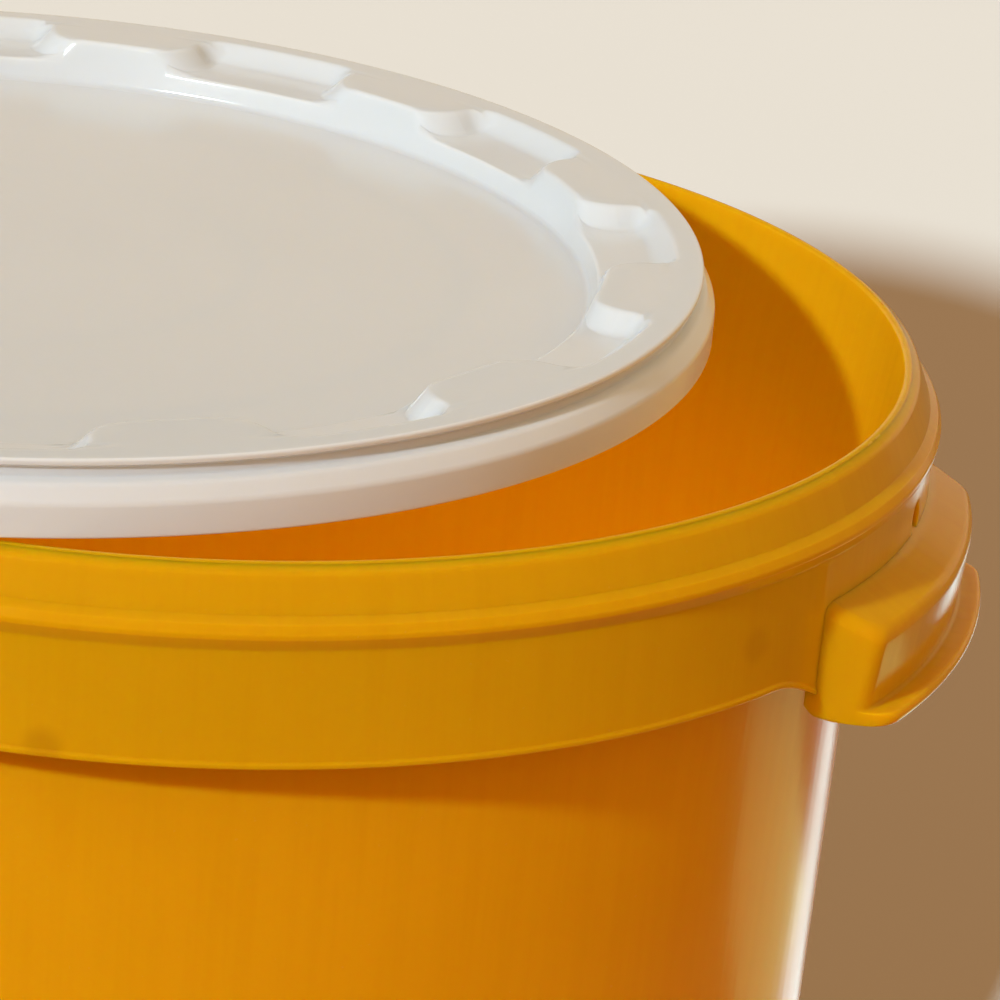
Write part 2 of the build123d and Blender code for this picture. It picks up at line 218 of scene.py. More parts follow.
# ------------------------------------------------------------------ pail: tub
floor_top = BASE_Z + T
foot_in = FOOT_RO - T
step_z = FOOT_Z + 5.0
below = round_path(
    [
        (0.0, BASE_Z - 1.0, 0),
        (4.7, BASE_Z - 1.0, 0.35),
        (5.1, BASE_Z, 0.3),
        (87.7, BASE_Z, 0.4),
        (88.2, BASE_Z - 1.6, 0.45),
        (91.8, BASE_Z - 1.6, 0.45),
        (92.3, BASE_Z, 0.4),
        (FOOT_RI - 0.2, BASE_Z, 1.0),
        (FOOT_RI, 0.0, 0.8),
        (FOOT_RO, 0.0, 1.2),
        (FOOT_RO + 0.1, FOOT_Z + 0.6, 1.2),
        (wall_out(step_z) - 0.1, FOOT_Z + 1.9, 2.6),
        (wall_out(40.0), 40.0, 0),
    ]
)
outside = below[:-1] + [(wall_out(z), z) for z in np.linspace(24.0, FLARE_Z0 - 6, 14)]
outside += [on(rc - T, th) for th in np.linspace(th0, th1, 16)]
rim = [(mid[0] + T / 2 * math.cos(a), mid[1] + T / 2 * math.sin(a)) for a in np.linspace(-th1, math.pi - th1, 15)]
inside = [on(rc, th) for th in np.linspace(th1, th0, 16)] + [(wall_in(z), z) for z in np.linspace(FLARE_Z0 - 6, 26.0, 14)]
inside += round_path(
    [
        (wall_in(24.0), 24.0, 0),
        (wall_in(step_z + 1.0) - 0.1, FOOT_Z + T + 1.2, 2.8),
        (foot_in, FOOT_Z + T + 0.2, 2.2),
        (foot_in - 0.2, floor_top, 3.0),
        (93.0, floor_top, 0.3),
        (92.5, floor_top - 0.25, 0.3),
        (90.0, floor_top - 0.25, 0.3),
        (89.5, floor_top, 0.3),
        (0.0, floor_top, 0),
    ]
)
ring_az = list(np.radians(np.arange(0, 360, 1.0)))
b, _ = lathe(outside + rim + inside, ring_az, False)
tub = weighted(b.mesh("tub_shell"))

# ------------------------------------------------------------------ pail: sealing ring, ledge and hanging band
k2 = (mid[0] + T / 2 * n1[0] - 5.6 * t1[0], mid[1] + T / 2 * n1[1] - 5.6 * t1[1])
in2 = (k2[0] - 0.8 * n1[0], k2[1] - 0.8 * n1[1])
roll = math.radians(33.0)                            # where the sealing ring leaves the rounded lip
lip_at = lambda a, r: (mid[0] + r * math.sin(a), mid[1] + r * math.cos(a))
patch = [-16.7, -18.4, -20.1, -21.8, -23.5, -25.2, -26.9]          # rows about the hole
upper = round_path(
    [
        (*lip_at(roll, T / 2 - 0.6), 0),
        (*lip_at(roll, T / 2 - 0.03), 0.2),
        (RING_B[0] - 0.45, H + RING_B[1] + 0.72, 2.4),
        (RING_C[0] - 0.15, H + RING_C[1] + 0.1, 0.45),
        (LEDGE_R - 1.1, H - 9.75, 1.0),
        (LEDGE_R - 0.2, H - 11.4, 1.3),
        (LEDGE_R - 0.25, H - 12.4, 0.9),
        (COLLAR_RO, H - 14.9, 1.6),
        (COLLAR_RO, H - 15.9, 0),
    ],
    fine=9.0,
)
band_out = [(COLLAR_RO, H + z) for z in patch] + [(COLLAR_RO, H - 27.6), (COLLAR_RO, H - 30.5), (COLLAR_RO, H - 33.5)]
foot_band = round_path(
    [
        (COLLAR_RO, H - 35.6, 0),
        (COLLAR_RO + 0.02, H - 36.9, 0.5),
        (COLLAR_RO + 0.3, H - 37.5, 0.5),
        (COLLAR_RO + 0.2, H - COLLAR_DROP, 0.45),
        (COLLAR_RI, H - COLLAR_DROP, 0.5),
        (COLLAR_RI, H - 35.6, 0),
    ]
)
band_in = [(COLLAR_RI, H - 33.5), (COLLAR_RI, H - 30.5), (COLLAR_RI, H - 27.6)] + [(COLLAR_RI, H + z) for z in patch[::-1]]
lower = round_path([(COLLAR_RI, H - 15.6, 0), (COLLAR_RI, H - 13.0, 1.2), (151.9, H - 9.4, 1.4), (k2[0], k2[1], 0.6), (in2[0], in2[1], 0)])
collar_path = upper + band_out + foot_band + band_in + lower
row_cut_a = len(upper) + len(patch)                                    # outer row at the cut's upper edge
row_cut_b = len(upper) + len(band_out) + len(foot_band) + 2            # inner row at the same height
row_hole_a = (len(upper), len(upper) + len(patch) - 1)
row_hole_b = (row_cut_b + 1, row_cut_b + len(patch))

CUT = math.degrees(math.asin((GRIP_S0 - (154.5 - GRIP_D0) * GRIP_DRAFT - 1.1) / 154.5))   # hidden in the end walls
HP = math.degrees(1.7 / COLLAR_RO)
near = [-3 * HP, -2 * HP, -HP, 0.0, HP, 2 * HP, 3 * HP]
one = near + [x for x in np.arange(3.0, 15.4, 1.0)] + list(np.arange(15.5, 24.05, 0.25)) + [CUT]
one += [x for x in np.arange(25.0, 90.01, 1.0)]
half = sorted({round(x, 6) for x in one} | {round(-x, 6) for x in one})
collar_deg = sorted({round(x % 360, 6) for x in half} | {round((x + 180) % 360, 6) for x in half})
# drop near-doubles
keep = []
for x in collar_deg:
    if not keep or x - keep[-1] > 0.03 or any(abs((x % 180) - s) < 1e-5 or abs(180 - (x % 180) - s) < 1e-5 for s in (round(CUT, 6),)):
        if keep and x - keep[-1] <= 0.03:
            keep.pop()
        keep.append(x)
collar_deg = keep


def grip_angle(d):
    """Angle from the nearer grip's middle, signed."""
    d = (d + 90.0) % 180.0 - 90.0
    return d


cb = Build()
nP, nA = len(collar_path), len(collar_deg)
rows = []
for i, (r, zz) in enumerate(collar_path):
    row = []
    for d in collar_deg:
        g = abs(grip_angle(d))
        rr, dip = r, 0.0
        if i > row_cut_a - 1 and i <= row_cut_b and 17.0 < g < 24.0:
            dip = 5.8 * min(1.0, (24.0 - g) / 6.0) ** 1.7 * smooth(H - 27.0, H - 36.0, zz)
        if row_hole_a[0] - 2 <= i <= row_cut_a + 3:
            # soft swelling of the band where the grip's end walls stand behind it
            fade = smooth(H - 14.2, H - 16.5, zz) * smooth(H - 34.0, H - 27.0, zz)
            rr += 0.26 * fade * math.exp(-(((g - 18.75) / 0.85) ** 2))
        a = math.radians(d)
        row.append(cb.vert(rr * math.cos(a), rr * math.sin(a), zz - dip))
    rows.append(row)
ln = lengths(collar_path + [collar_path[0]])
cw = [0.002 + 0.996 * x for x in ln]
cu = [0.002 + 0.996 * d / 360.0 for d in collar_deg] + [0.998]


def in_cut(j, j2):
    a, c = grip_angle(collar_deg[j]), grip_angle(collar_deg[j2])
    return abs(a) <= CUT + 1e-4 and abs(c) <= CUT + 1e-4


def in_hole(j, j2):
    lim = 3 * HP + 1e-4
    return abs(grip_angle(collar_deg[j])) <= lim and abs(grip_angle(collar_deg[j2])) <= lim


for i in range(nP):
    i2 = (i + 1) % nP
    for j in range(nA):
        j2 = (j + 1) % nA
        if row_cut_a <= i < row_cut_b and in_cut(j, j2):
            continue
        if in_hole(j, j2) and (row_hole_a[0] <= i < row_hole_a[1] or row_hole_b[0] <= i < row_hole_b[1]):
            continue
        cb.face(
            (rows[i][j], rows[i][j2], rows[i2][j2], rows[i2][j]),
            ((cu[j], cw[i]), (cu[j + 1], cw[i]), (cu[j + 1], cw[i + 1]), (cu[j], cw[i + 1])),
        )
# the band's opening behind each grip: its upper edge and its two ends
tiny = lambda k, n: [(0.999, 0.001 + 0.998 * (k + q / max(1, n)) / 400.0) for q in range(n)]
slot_no = 0
for j in range(nA):
    j2 = (j + 1) % nA
    if in_cut(j, j2):
        cb.face((rows[row_cut_a][j], rows[row_cut_a][j2], rows[row_cut_b][j2], rows[row_cut_b][j]), tiny(slot_no, 4))
        slot_no += 1
for j in range(nA):
    g = grip_angle(collar_deg[j])
    if abs(abs(g) - CUT) < 1e-3:
        ring = [rows[i][j] for i in range(row_cut_a, row_cut_b + 1)]
        cb.face(ring, tiny(slot_no, len(ring)))
        slot_no += 1
# round hole above each grip, with its edges broken
for centre in (0.0, 180.0):
    js = [j for j in range(nA) if abs((collar_deg[j] - centre + 180) % 360 - 180) <= 3 * HP + 1e-4]
    js.sort(key=lambda j: (collar_deg[j] - centre + 180) % 360)
    loops = []
    for (ia, ib), rad in ((row_hole_a, COLLAR_RO), (row_hole_b, COLLAR_RI)):
        irows = list(range(ia, ib + 1))
        border = [(irows[0], j) for j in js] + [(i, js[-1]) for i in irows[1:]] + [(irows[-1], j) for j in js[::-1][1:]] + [(i, js[0]) for i in irows[::-1][1:-1]]
        pts = []
        for i, j in border:
            s = math.radians((collar_deg[j] - centre + 180) % 360 - 180) * COLLAR_RO
            pts.append((s, collar_path[i][1] - (H - HOLE_DROP)))
        loops.append((border, pts, rad))
    order_ref = None
    rings_by_side = []
    for side_no, (border, pts, rad) in enumerate(loops):
        ang = [math.atan2(p[1], p[0]) for p in pts]
        order = sorted(range(len(border)), key=lambda q: ang[q])
        border = [border[q] for q in order]
        pts = [pts[q] for q in order]
        nb = len(border)
        ids = [[rows[i][j] for i, j in border]]
        uvs = [[(cu[j], cw[i]) for i, j in border]]
        ang = [math.atan2(p[1], p[0]) for p in pts]
        levels = [0.35, 0.7, None, "edge"] if side_no == 0 else [0.35, 0.7, None, "edge"]
        for lv in levels:
            ring_ids, ring_uv = [], []
            for p, a, (bi, bj) in zip(pts, ang, border):
                rim_r = HOLE_R + 0.35 if lv is None else HOLE_R
                if lv in (None, "edge"):
                    s, z = rim_r * math.cos(a), rim_r * math.sin(a)
                else:
                    q = (HOLE_R + 0.35) * np.array((math.cos(a), math.sin(a)))
                    s, z = (1 - lv) * p[0] + lv * q[0], (1 - lv) * p[1] + lv * q[1]
                rr = rad
                if lv == "edge":
                    rr = rad - 0.3 if side_no == 0 else rad + 0.3
                t = math.radians(centre) + s / COLLAR_RO
                ring_ids.append(cb.vert(rr * math.cos(t), rr * math.sin(t), H - HOLE_DROP + z))
                lo_w, hi_w = cw[row_hole_a[0] if side_no == 0 else row_hole_b[0]], cw[row_hole_a[1] if side_no == 0 else row_hole_b[1]]
                fr = (z + 5.1) / 10.2
                ring_uv.append((0.002 + 0.996 * (((centre + math.degrees(s / COLLAR_RO)) % 360) / 360.0), hi_w + (lo_w - hi_w) * fr if side_no == 0 else lo_w + (hi_w - lo_w) * fr))
            ids.append(ring_ids)
            uvs.append(ring_uv)
        for a_, b_, ua, ub in zip(ids[:-1], ids[1:], uvs[:-1], uvs[1:]):
            for q in range(nb):
                q2 = (q + 1) % nb
                cb.face((a_[q], a_[q2], b_[q2], b_[q]), (ua[q], ua[q2], ub[q2], ub[q]))
        rings_by_side.append(ids[-1])
    nb = len(rings_by_side[0])
    for q in range(nb):
        q2 = (q + 1) % nb
        cb.face((rings_by_side[0][q], rings_by_side[0][q2], rings_by_side[1][q2], rings_by_side[1][q]), tiny(slot_no, 4))
        slot_no += 1
collar = weighted(cb.mesh("rim_collar_band"))

# ------------------------------------------------------------------ pail: hand grips
GS = lambda d, inset=0.0: GRIP_S0 - (d - GRIP_D0) * GRIP_DRAFT - inset
hug = lambda r, h: h * min(1.0, max(0.0, (COLLAR_RO + 1.9 - r) / 1.9)) ** 2   # hollow fillet of height h against the band
PLATE = 3.45 / 6.8                                   # the top plate's fall per mm outwards
ztop = lambda r: H - GRIP_TOP - (r - COLLAR_RO) * PLATE
R_START = 153.5
N_END, N_COR, N_ARC = 9, 8, 56
END_R = 2.6                                          # rounding between end faces and top plate


def plan(r_out, corner, inset):
    """Points (x, y) of a grip's outline at one level, from the band round to the band, as seen from above."""
    cphi = math.atan(GRIP_DRAFT)
    # the end line at +y: y = GS(x); its inward normal is (-sin, -cos)
    # corner arc centre: at distance corner from the end line and r_out - corner from the axis
    def end_y(x):
        return GS(x, inset)
    lo_, hi_ = 140.0, r_out
    for _ in range(60):
        m_ = (lo_ + hi_) / 2
        yc = end_y(m_) - corner / math.cos(cphi)
        if math.hypot(m_, yc) < r_out - corner:
            lo_ = m_
        else:
            hi_ = m_
    cx, cy = lo_, end_y(lo_) - corner / math.cos(cphi)
    nx, ny = math.sin(cphi), math.cos(cphi)          # outward normal of the end
    p_end = (cx + corner * nx, cy + corner * ny)
    a_out = math.atan2(cy, cx)
    a_end = math.atan2(ny, nx)
    x0 = R_START                                     # where the end meets the band: solve |p| = R_START on the end line
    for _ in range(40):
        x0 = math.sqrt(max(1.0, R_START**2 - end_y(x0) ** 2))
    pts = []
    for k in range(N_END):
        f = (0.0, 0.015, 0.10, 0.15, 0.19, 0.23, 0.28, 0.53, 0.82)[k]
        x = x0 + (p_end[0] - x0) * f
        pts.append((x, end_y(x) + (0.0 if inset > 1.5 else hug(math.hypot(x, end_y(x)), 0.7))))
    for k in range(N_COR + 1):
        a = a_end + (a_out - a_end) * k / N_COR
        pts.append((cx + corner * math.cos(a), cy + corner * math.sin(a)))
    start = a_out
    for k in range(1, N_ARC):
        a = start - 2 * start * k / N_ARC
        pts.append((r_out * math.cos(a), r_out * math.sin(a)))
    tail = [(x, -y) for x, y in pts[: N_END + N_COR + 1][::-1]]
    return pts + tail


def grip_mesh(name, turn):
    gb = Build()
    prof = []                                        # (outer radius, nominal z, corner radius, end inset, kind)
    # top edge: from the plate over to the outer wall
    top_edge = []
    for f in np.linspace(0, 1, 10):
        ang = f * (math.pi / 2)
        top_edge.append(f)
    # arc through the three stated points
    A, M, B = np.array((162.3, H - 28.65)), np.array((164.55, H - 30.2)), np.array((165.4, H - 32.8))
    d = 2 * (A[0] * (M[1] - B[1]) + M[0] * (B[1] - A[1]) + B[0] * (A[1] - M[1]))
    ux = ((A @ A) * (M[1] - B[1]) + (M @ M) * (B[1] - A[1]) + (B @ B) * (A[1] - M[1])) / d
    uy = ((A @ A) * (B[0] - M[0]) + (M @ M) * (A[0] - B[0]) + (B @ B) * (M[0] - A[0])) / d
    ra = math.hypot(A[0] - ux, A[1] - uy)
    a0, a1 = math.atan2(A[1] - uy, A[0] - ux), math.atan2(B[1] - uy, B[0] - ux)
    for k in range(11):
        a = a0 + (a1 - a0) * k / 10
        r, z = ux + ra * math.cos(a), uy + ra * math.sin(a)
        drop = max(0.0, ztop(r) - z)
        s = max(-1.0, min(1.0, 1 - drop / END_R))
        inset = END_R * (1 - math.cos(math.asin(s))) if drop < END_R else 0.0
        prof.append((r, z, 4.5, inset, drop))
    zt = H - 46.8
    for f in (0.2, 0.45, 0.7, 0.88):
        prof.append((165.4 + (163.75 - 165.4) * f, H - 32.8 + (zt + 32.8 - H) * f, 4.5, 0.0, None, 0.80 * f))
    # hollow fillet into the flange, the flange and its rounded edge
    flange_no = 0
    for r, z, c in (
        (163.85, zt + 0.75, 4.6),
        (164.15, zt + 0.3, 4.7),
        (164.7, zt + 0.06, 4.9),
        (166.4, zt + 0.0, 5.4),
        (167.7, zt - 0.02, 5.8),
        (168.25, zt - 0.22, 6.0),
        (168.6, zt - 0.62, 6.0),
        (168.8, zt - 1.2, 6.0),
        (168.78, zt - 1.75, 6.0),
        (168.5, zt - 2.3, 6.0),
        (168.05, zt - 2.66, 6.0),
        (167.4, zt - 2.8, 5.6),
        (165.0, zt - 2.8, 4.8),
    ):
        flange_no += 1
        prof.append((r, z, c, 0.0, None, 0.73 + 0.26 * flange_no / 13))
    zb = H - GRIP_DROP

    def low_edge(r):
        """Height of the end walls' lower edge, with its inner corner rounded off."""
        f = min(1.0, max(0.0, (159.5 - r) / 6.25))
        return zb + 5.6 * (1 - math.sqrt(1 - f * f))

    def level(r_out, zn, corner, inset, drop, f_end=None, inner=False):
        pts = plan(r_out, corner, inset)
        ids = []
        for x, y in pts:
            r = math.hypot(x, y)
            if drop is not None:
                z = ztop(r) - drop + hug(r, 0.6)
            else:
                if inner:
                    top_here, top_nom = ztop(r) - 2.4, H - 31.0
                else:
                    top_here, top_nom = ztop(r) - END_R, ztop(165.4) - END_R
                span_nom = top_nom - zb
                f = (top_nom - zn) / span_nom if f_end is None else f_end
                end_like = smooth(163.2, 158.6, r)
                z_scaled = top_here + (low_edge(r) - top_here) * f
                z = zn * (1 - end_like) + z_scaled * end_like
            ids.append(gb.vert(x, y, z))
        return ids

    loops = [level(*p) for p in prof]
    # lower face in to the pocket, then up the pocket's inside
    cs = GRIP_T / math.cos(math.atan(GRIP_DRAFT))
    inner = [
        (162.0, zb + 0.0, 3.2, cs - 0.5, None),
        (161.6, zb + 0.2, 2.8, cs - 0.15, None),
        (161.5, zb + 0.7, 2.6, cs, None),
        (161.5, zt, 2.5, cs, None),
        (162.1, H - 41.5, 2.5, cs, None),
        (162.7, H - 37.0, 2.5, cs, None),
        (163.05, H - 34.0, 2.5, cs, None),
    ]
    loops += [level(*p, inner=True) for p in inner]
    nL = len(loops[0])
    # the pocket's roof edge
    roof = lambda r: H - GRIP_TOP - GRIP_T - 0.4 - max(0.0, r - COLLAR_RO) * PLATE
    for r, dz, c, ins in ((162.9, 1.3, 2.4, cs + 0.1), (162.4, 0.5, 2.2, cs + 0.5), (161.5, 0.0, 2.0, cs + 1.2)):
        ids = []
        for x, y in plan(r, c, ins):
            ids.append(gb.vert(x, y, roof(math.hypot(x, y)) - dz))
        loops.append(ids)
    for la, lb in zip(loops[:-1], loops[1:]):
        for k in range(nL - 1):
            gb.face((la[k], la[k + 1], lb[k + 1], lb[k]))

    def fan(loop, height, steps):
        """Fills from an outline back to the band, along the plate's cone."""
        P = [gb.v[i] for i in loop]
        w = [0.0]
        for k in range(nL - 1):
            e = math.dist(P[k], P[k + 1])
            w.append(w[-1] + e * (0.25 if k < N_END or k >= nL - 1 - N_END else 1.0))
        az_a, az_b = math.atan2(P[0][1], P[0][0]), math.atan2(P[-1][1], P[-1][0])
        prev = loop
        for st in range(1, steps + 1):
            f = st / steps
            cur = [loop[0]]
            for k in range(1, nL - 1):
                r0, q0 = math.hypot(P[k][0], P[k][1]), math.atan2(P[k][1], P[k][0])
                q1 = az_a + (az_b - az_a) * w[k] / w[-1]
                r, q = r0 + (R_START - r0) * f, q0 + (q1 - q0) * f
                cur.append(gb.vert(r * math.cos(q), r * math.sin(q), height(r)))
            cur.append(loop[-1])
            for k in range(nL - 1):
                face = []
                for v in (prev[k], prev[k + 1], cur[k + 1], cur[k]):
                    if v not in face:
                        face.append(v)
                if len(face) > 2:
                    gb.face(face)
            prev = cur
        return prev

    top_line = fan(loops[0], lambda r: ztop(r) + hug(r, 0.6), 14)
    roof_line = fan(loops[-1], roof, 4)
    for k in range(nL - 1):
        face = []
        for v in (top_line[k], top_line[k + 1], roof_line[k + 1], roof_line[k]):
            if v not in face:
                face.append(v)
        if len(face) > 2:
            gb.face(face)
    gb.face([lp[0] for lp in loops])
    gb.face([lp[-1] for lp in loops])
    ob = gb.mesh(name, Matrix.Rotation(turn, 4, "Z"))
    return weighted(ob)


grips = {"grip_right": grip_mesh("grip_right_moulded", 0.0), "grip_left": grip_mesh("grip_left_moulded", math.pi)}

# ------------------------------------------------------------------ lid
lay = (
    Matrix.Translation((LID_X * 0.001, LID_Y * 0.001, (H + LID_GAP) * 0.001))
    @ Matrix.Rotation(math.radians(LID_TILT_AZ), 4, "Z")
    @ Matrix.Rotation(math.radians(LID_TILT), 4, "Y")
    @ Matrix.Rotation(math.radians(LID_POCKET_AZ - LID_TILT_AZ), 4, "Z")
)
top_r, pan_r = LID_WALL_R
side = lambda z: pan_r + (top_r - pan_r) * (z - LID_PANEL_Z) / (LID_HT - LID_PANEL_Z)


def sampler(pts):
    """Height over radius along a rounded section; returns its points and a function."""
    path = round_path(pts, fine=9.0)
    rr, zz = np.array([p[0] for p in path]), np.array([p[1] for p in path])
    return path, (lambda r: float(np.interp(r, rr, zz)))


land_path, land_z = sampler(
    [(0, LID_PANEL_Z, 0), (pan_r, LID_PANEL_Z, 1.8), (top_r, LID_HT, 1.3), (LID_TOP_RO - 0.7, LID_HT, 0)]
)
sill = LID_POCKET_FLOOR
for _ in range(20):
    sill = LID_POCKET_FLOOR - LID_FALL * (LID_POCKET_RO[1] - side(sill))
pock_path, pock_z = sampler(
    [(0, LID_PANEL_Z, 0), (pan_r, LID_PANEL_Z, 1.8), (side(sill), sill, 0.9), (LID_POCKET_RO[1], LID_POCKET_FLOOR, 0.6), (LID_TOP_RO - 0.7, LID_POCKET_FLOOR, 0)]
)
under_land = round_path(
    [
        (0, LID_PANEL_Z - LID_T, 0),
        (pan_r + LID_T - 0.2, LID_PANEL_Z - LID_T, 1.0),
        (side(LID_STEP) + LID_T, LID_STEP, 0.5),
        (137.2, LID_STEP + 0.5, 0.3),
        (137.6, LID_HT - LID_T, 0.5),
        (148.1, LID_HT - LID_T, 0.4),
        (148.4, LID_ROOF, 0.3),
        (152.1, LID_ROOF, 0),
    ]
)
under_pock = round_path(
    [
        (0, LID_PANEL_Z - LID_T, 0),
        (pan_r + LID_T - 0.2, LID_PANEL_Z - LID_T, 1.0),
        (side(LID_STEP) + LID_T, LID_STEP, 0.5),
        (143.0, LID_ROOF, 1.0),
        (152.1, LID_ROOF, 0),
    ]
)
uz_land = lambda r: float(np.interp(r, [p[0] for p in under_land], [p[1] for p in under_land]))
uz_pock = lambda r: float(np.interp(r, [p[0] for p in under_pock], [p[1] for p in under_pock]))


def merged(values, least):
    out = []
    for v in sorted(values):
        if not out or v - out[-1] > least:
            out.append(v)
    return out


# a pocket's walls: sloped, with soft edges; height over distance from the line halfway up the wall
deep = LID_HT - LID_POCKET_FLOOR
P_REF = 140.0
P_HALF = math.radians(sum(LID_POCKET_DEG) / 4) * P_REF
P_BACK = sum(LID_POCKET_RO) / 2
P_EDGE = side(LID_POCKET_FLOOR + deep / 2)
slope = round_path([(-1.95, 0, 0), (1.95, deep, 1.8), (12, deep, 0)], fine=6.0)[:-1]
slope_a, slope_z = np.array([p[0] for p in slope]), np.array([p[1] + LID_POCKET_FLOOR for p in slope])
drop = LID_POCKET_FLOOR - LID_PANEL_Z + 0.5
slope_a = np.concatenate(([slope_a[0] - drop * 3.9 / deep], slope_a))
slope_z = np.concatenate(([LID_PANEL_Z - 0.5], slope_z))
inner_r = np.array([p[0] for p in land_path[1:-1]])
inner_z = np.array([p[1] for p in land_path[1:-1]])
inner_z = inner_z + np.linspace(0.0, 1e-6, len(inner_z))


def lid_height(r, deg):
    """Top face of the lid's ring at radius r and the given angles (arrays)."""
    x = np.abs((deg + 180.0 / LID_POCKETS) % (360.0 / LID_POCKETS) - 180.0 / LID_POCKETS)
    qx, qy = np.radians(x) * P_REF - (P_HALF - LID_BACK), np.full_like(x, r - (P_BACK - LID_BACK))
    away = np.hypot(np.maximum(qx, 0), np.maximum(qy, 0)) + np.minimum(np.maximum(qx, qy), 0) - LID_BACK
    lo_z, hi_z = np.full_like(x, LID_PANEL_Z), np.full_like(x, LID_HT)
    for _ in range(34):
        m = (lo_z + hi_z) / 2
        qa = LID_CORNER - (away - np.interp(m, slope_z, slope_a))
        qb = LID_CORNER - (r - np.interp(m, inner_z, inner_r))
        outside_land = np.hypot(np.maximum(qa, 0), np.maximum(qb, 0)) + np.minimum(np.maximum(qa, qb), 0) > LID_CORNER
        hi_z, lo_z = np.where(outside_land, m, hi_z), np.where(outside_land, lo_z, m)
    bed = pock_z(r)
    soft = 0.05 + 1.5 * smooth(131.6, 135.0, r)
    near = np.maximum(soft - np.abs(lo_z - bed), 0.0) / soft
    return np.minimum(np.maximum(lo_z, bed) + near * near * soft / 4 * smooth(131.6, 135.0, r), LID_HT)


wall_off = [-3.4, -2.8, -2.35, -1.95, -1.5, -0.8, 0.0, 0.8, 1.4, 1.8, 2.2, 2.6, 3.2]
step_deg = 360.0 / LID_POCKETS


def wall_line(r):
    """Half width of a pocket halfway up its end walls, at one radius."""
    if r < P_EDGE:
        return P_HALF + LID_CORNER
    if r < P_EDGE + LID_CORNER:
        return P_HALF + LID_CORNER - math.sqrt(LID_CORNER**2 - (P_EDGE + LID_CORNER - r) ** 2)
    if r > P_BACK - LID_BACK:
        in_ = LID_BACK - math.sqrt(max(0.0, LID_BACK**2 - min(LID_BACK, r - P_BACK + LID_BACK) ** 2))
        return P_HALF - 0.8 * in_ * smooth(151.6, 147.0, r)
    return P_HALF


def columns(mid_):
    first, last = math.degrees((mid_ + wall_off[0]) / P_REF), math.degrees((mid_ + wall_off[-1]) / P_REF)
    w = [math.degrees((mid_ + x) / P_REF) for x in wall_off]
    one_ = list(np.linspace(-first, first, 9)[1:-1]) + w + list(np.linspace(last, step_deg - last, 9)[1:-1]) + [step_deg - x for x in w[::-1]]
    return np.array([k * step_deg + x for k in range(LID_POCKETS) for x in one_])


r_top = [p[0] for p in land_path + pock_path if 100 < p[0] < 150]
r_top += list(np.arange(10, 125, 16.0)) + [125.0, 126.2] + list(np.linspace(130.0, 132.4, 6)) + [150.3, 151.3, 151.9]
r_top += [P_EDGE + LID_CORNER * (1 - math.cos(math.radians(x))) for x in range(0, 91, 10)] + [139.4, 140.6]
r_top += [P_BACK + x for x in wall_off]
r_top = [0.0] + merged(r_top, 0.09)
r_under = [p[0] for p in under_land + under_pock if p[0] > 100]
r_under += list(np.arange(8, 126, 24.0)) + [134.0, 140.0, 143.5, 146.5, 150.3]
r_under = [0.0] + merged(r_under, 0.12)
lid_deg = columns(P_HALF)


def hollow_up(d):
    """How far the hollow below a land has risen at this angle."""
    x = abs((d + 180.0 / LID_POCKETS) % (360.0 / LID_POCKETS) - 180.0 / LID_POCKETS)
    return smooth(7.6, 8.9, x)


edge = round_path(
    [
        (LID_TOP_RO - 1.5, LID_HT, 0),
        (LID_TOP_RO - 0.02, LID_HT - 0.02, 0.75),
        (LID_TOP_RO - 0.25, LID_HT - 1.35, 0.4),
        (LID_GROOVE_R, LID_HT - 1.85, 0.5),
        (LID_GROOVE_R, LID_SKIRT + 3.75, 0.5),
        (LID_RO - 2.2, LID_SKIRT + 3.05, 2.2),
        (LID_RO, LID_SKIRT - 0.1, 2.4),
        (LID_RO, 0.0, 0.42),
        (LID_RI, 0.0, 0.35),
        (LID_RI, LID_SKIRT - 0.4, 2.2),
        (LID_RI - 1.3, LID_ROOF, 1.2),
        (152.4, LID_ROOF, 0),
    ],
    fine=11.0,
)
edge = [p for p in edge if p[0] > 0]
lb = Build()
nA = len(lid_deg)
ca, sa = [math.cos(math.radians(d)) for d in lid_deg], [math.sin(math.radians(d)) for d in lid_deg]
hol = [hollow_up(d) for d in lid_deg]
lrows, section = [], []
for r in r_top:
    if r == 0.0:
        row = [lb.vert(0, 0, LID_PANEL_Z)] * nA
    else:
        deg = columns(wall_line(r))
        hgt = lid_height(r, deg) if r > 126.0 else np.full(nA, LID_PANEL_Z)
        row = [lb.vert(r * math.cos(math.radians(d)), r * math.sin(math.radians(d)), z) for d, z in zip(deg, hgt)]
    lrows.append(row)
    section.append((r, land_z(r)))
for r, z in edge[1:]:
    if r < r_top[-1] + 0.02 and z > LID_HT - 0.01:
        continue
    lrows.append([lb.vert(r * ca[j], r * sa[j], z) for j in range(nA)])
    section.append((r, z))
for r in r_under[::-1]:
    if r >= 152.05:
        continue
    zl, zp = uz_land(r), uz_pock(r)
    if r == 0.0:
        row = [lb.vert(0, 0, LID_PANEL_Z - LID_T)] * nA
    else:
        row = [lb.vert(r * ca[j], r * sa[j], zp + (zl - zp) * hol[j]) for j in range(nA)]
    lrows.append(row)
    section.append((r, zl))
lw = [0.002 + 0.996 * x for x in lengths(section)]
lu = [0.002 + 0.996 * (d - lid_deg[0]) / 360.0 for d in lid_deg] + [0.998]
